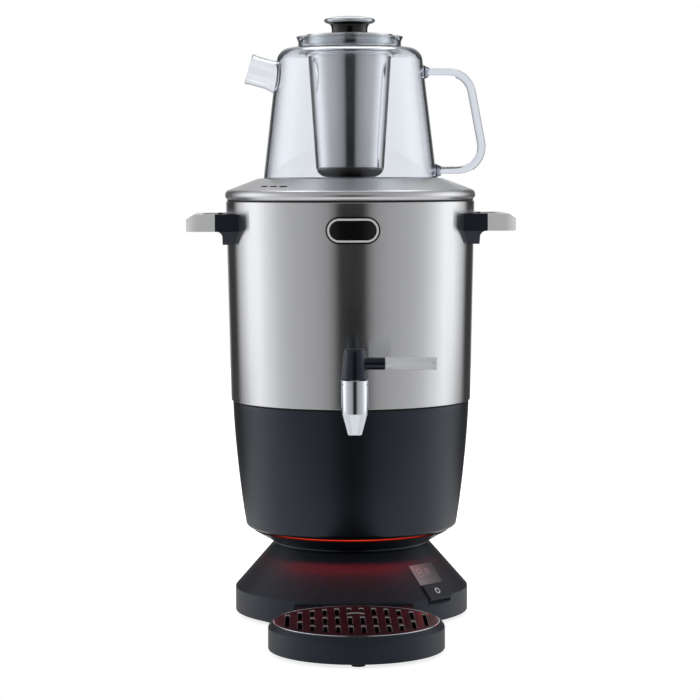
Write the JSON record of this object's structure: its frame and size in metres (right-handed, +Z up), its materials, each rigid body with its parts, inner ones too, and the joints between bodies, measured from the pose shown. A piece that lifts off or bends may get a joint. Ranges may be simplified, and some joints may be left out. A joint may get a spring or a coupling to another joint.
{
  "type": "electric samovar",
  "caption": "Electric samovar: powered base with drip tray, lift-off steel kettle with a lever tap, and a lid that carries a glass teapot with an infuser.",
  "frame": {"origin": "on the base's vertical axis, at the underside of the rubber foot ring, on the standing plane", "axes": "+Z up along the kettle's axis, -Y towards the tap and the drip tray, +X towards the teapot's handle"},
  "size_m": [0.2564, 0.3317, 0.4725],
  "materials": {
    "black_plastic": "fine moulded satin",
    "rubber": "matte",
    "brushed_steel": "brushed round the axis",
    "plain_steel": "plain drawn",
    "chrome": "polished plate",
    "brass": "turned",
    "satin_aluminium": "satin anodised",
    "grille_enamel": "gloss black enamel",
    "badge_enamel": "gloss black enamel",
    "glass": "clear borosilicate",
    "silicone": "translucent",
    "light_ring": "lit diffuser",
    "display_glass": "smoked acrylic",
    "circuit_board": "solder mask",
    "dark_plastic": "moulded"
  },
  "bodies": {
    "base": {"base_shell": "black_plastic", "base_floor": "black_plastic", "base_foot_ring": "rubber", "base_floor_screws": "plain_steel", "coupler_pedestal": "black_plastic", "cord_gland": "black_plastic", "control_board": "circuit_board", "display_module": "dark_plastic", "display_lens": "display_glass", "button_switch": "dark_plastic"},
    "power_button": {"power_button": "black_plastic"},
    "drip_tray": {"tray_pan": "black_plastic", "tray_feet": "rubber"},
    "drip_grille": {"tray_grille": "grille_enamel", "grille_trim": "chrome"},
    "kettle": {"bottom_pan": "black_plastic", "light_ring": "light_ring", "light_board": "circuit_board", "lower_bowl": "black_plastic", "bowl_seal": "rubber", "tank": "brushed_steel", "heater_plate": "satin_aluminium", "heater_element": "plain_steel", "thermostat": "dark_plastic", "temperature_probe": "plain_steel", "tie_rods": "plain_steel", "tie_rod_nuts": "plain_steel", "coupler_socket": "black_plastic", "handle_bracket_right": "black_plastic", "handle_bracket_left": "black_plastic", "handle_grip_right": "satin_aluminium", "handle_grip_left": "satin_aluminium", "handle_screws": "plain_steel", "badge_plate": "badge_enamel", "badge_rim": "chrome", "tap_body": "chrome", "tap_outer_washer": "rubber", "tap_inner_washer": "rubber", "tap_nut": "plain_steel"},
    "tap_handle": {"tap_plug": "brass", "tap_oring": "rubber", "tap_lever": "black_plastic", "lever_grip": "satin_aluminium"},
    "tank_lid": {"lid_cover": "brushed_steel", "lid_liner": "black_plastic", "lid_gasket": "rubber"},
    "teapot": {"teapot_body": "glass", "teapot_spout": "glass", "teapot_handle": "glass"},
    "infuser": {"infuser_basket": "brushed_steel", "infuser_collar": "silicone"},
    "teapot_lid": {"pot_lid": "brushed_steel", "lid_knob": "black_plastic", "knob_cap": "chrome", "knob_screw": "plain_steel"}
  },
  "joints": [
    {"name": "button_press", "type": "slide", "parent": "base", "child": "power_button", "axis": [-0.5501, 0.513, -0.659], "range_m": [0, 0.0012], "stiffness_N_per_m": 400},
    {"name": "tray_slide", "type": "slide", "parent": "base", "child": "drip_tray", "axis": [0, -1, 0], "range_m": [0, 0.09]},
    {"name": "grille_lift", "type": "slide", "parent": "drip_tray", "child": "drip_grille", "axis": [0, 0, 1], "range_m": [0, 0.06]},
    {"name": "kettle_lift", "type": "slide", "parent": "base", "child": "kettle", "axis": [0, 0, 1], "range_m": [0, 0.1]},
    {"name": "tap_turn", "type": "hinge", "parent": "kettle", "child": "tap_handle", "pos_m": [0, -0.138, 0.2087], "axis": [0, 0, 1], "range_deg": [-90, 0]},
    {"name": "lid_lift", "type": "slide", "parent": "kettle", "child": "tank_lid", "axis": [0, 0, 1], "range_m": [0, 0.08]},
    {"name": "teapot_lift", "type": "slide", "parent": "tank_lid", "child": "teapot", "axis": [0, 0, 1], "range_m": [0, 0.08]},
    {"name": "infuser_lift", "type": "slide", "parent": "teapot", "child": "infuser", "axis": [0, 0, 1], "range_m": [0, 0.125]},
    {"name": "pot_lid_lift", "type": "slide", "parent": "infuser", "child": "teapot_lid", "axis": [0, 0, 1], "range_m": [0, 0.06]}
  ]
}
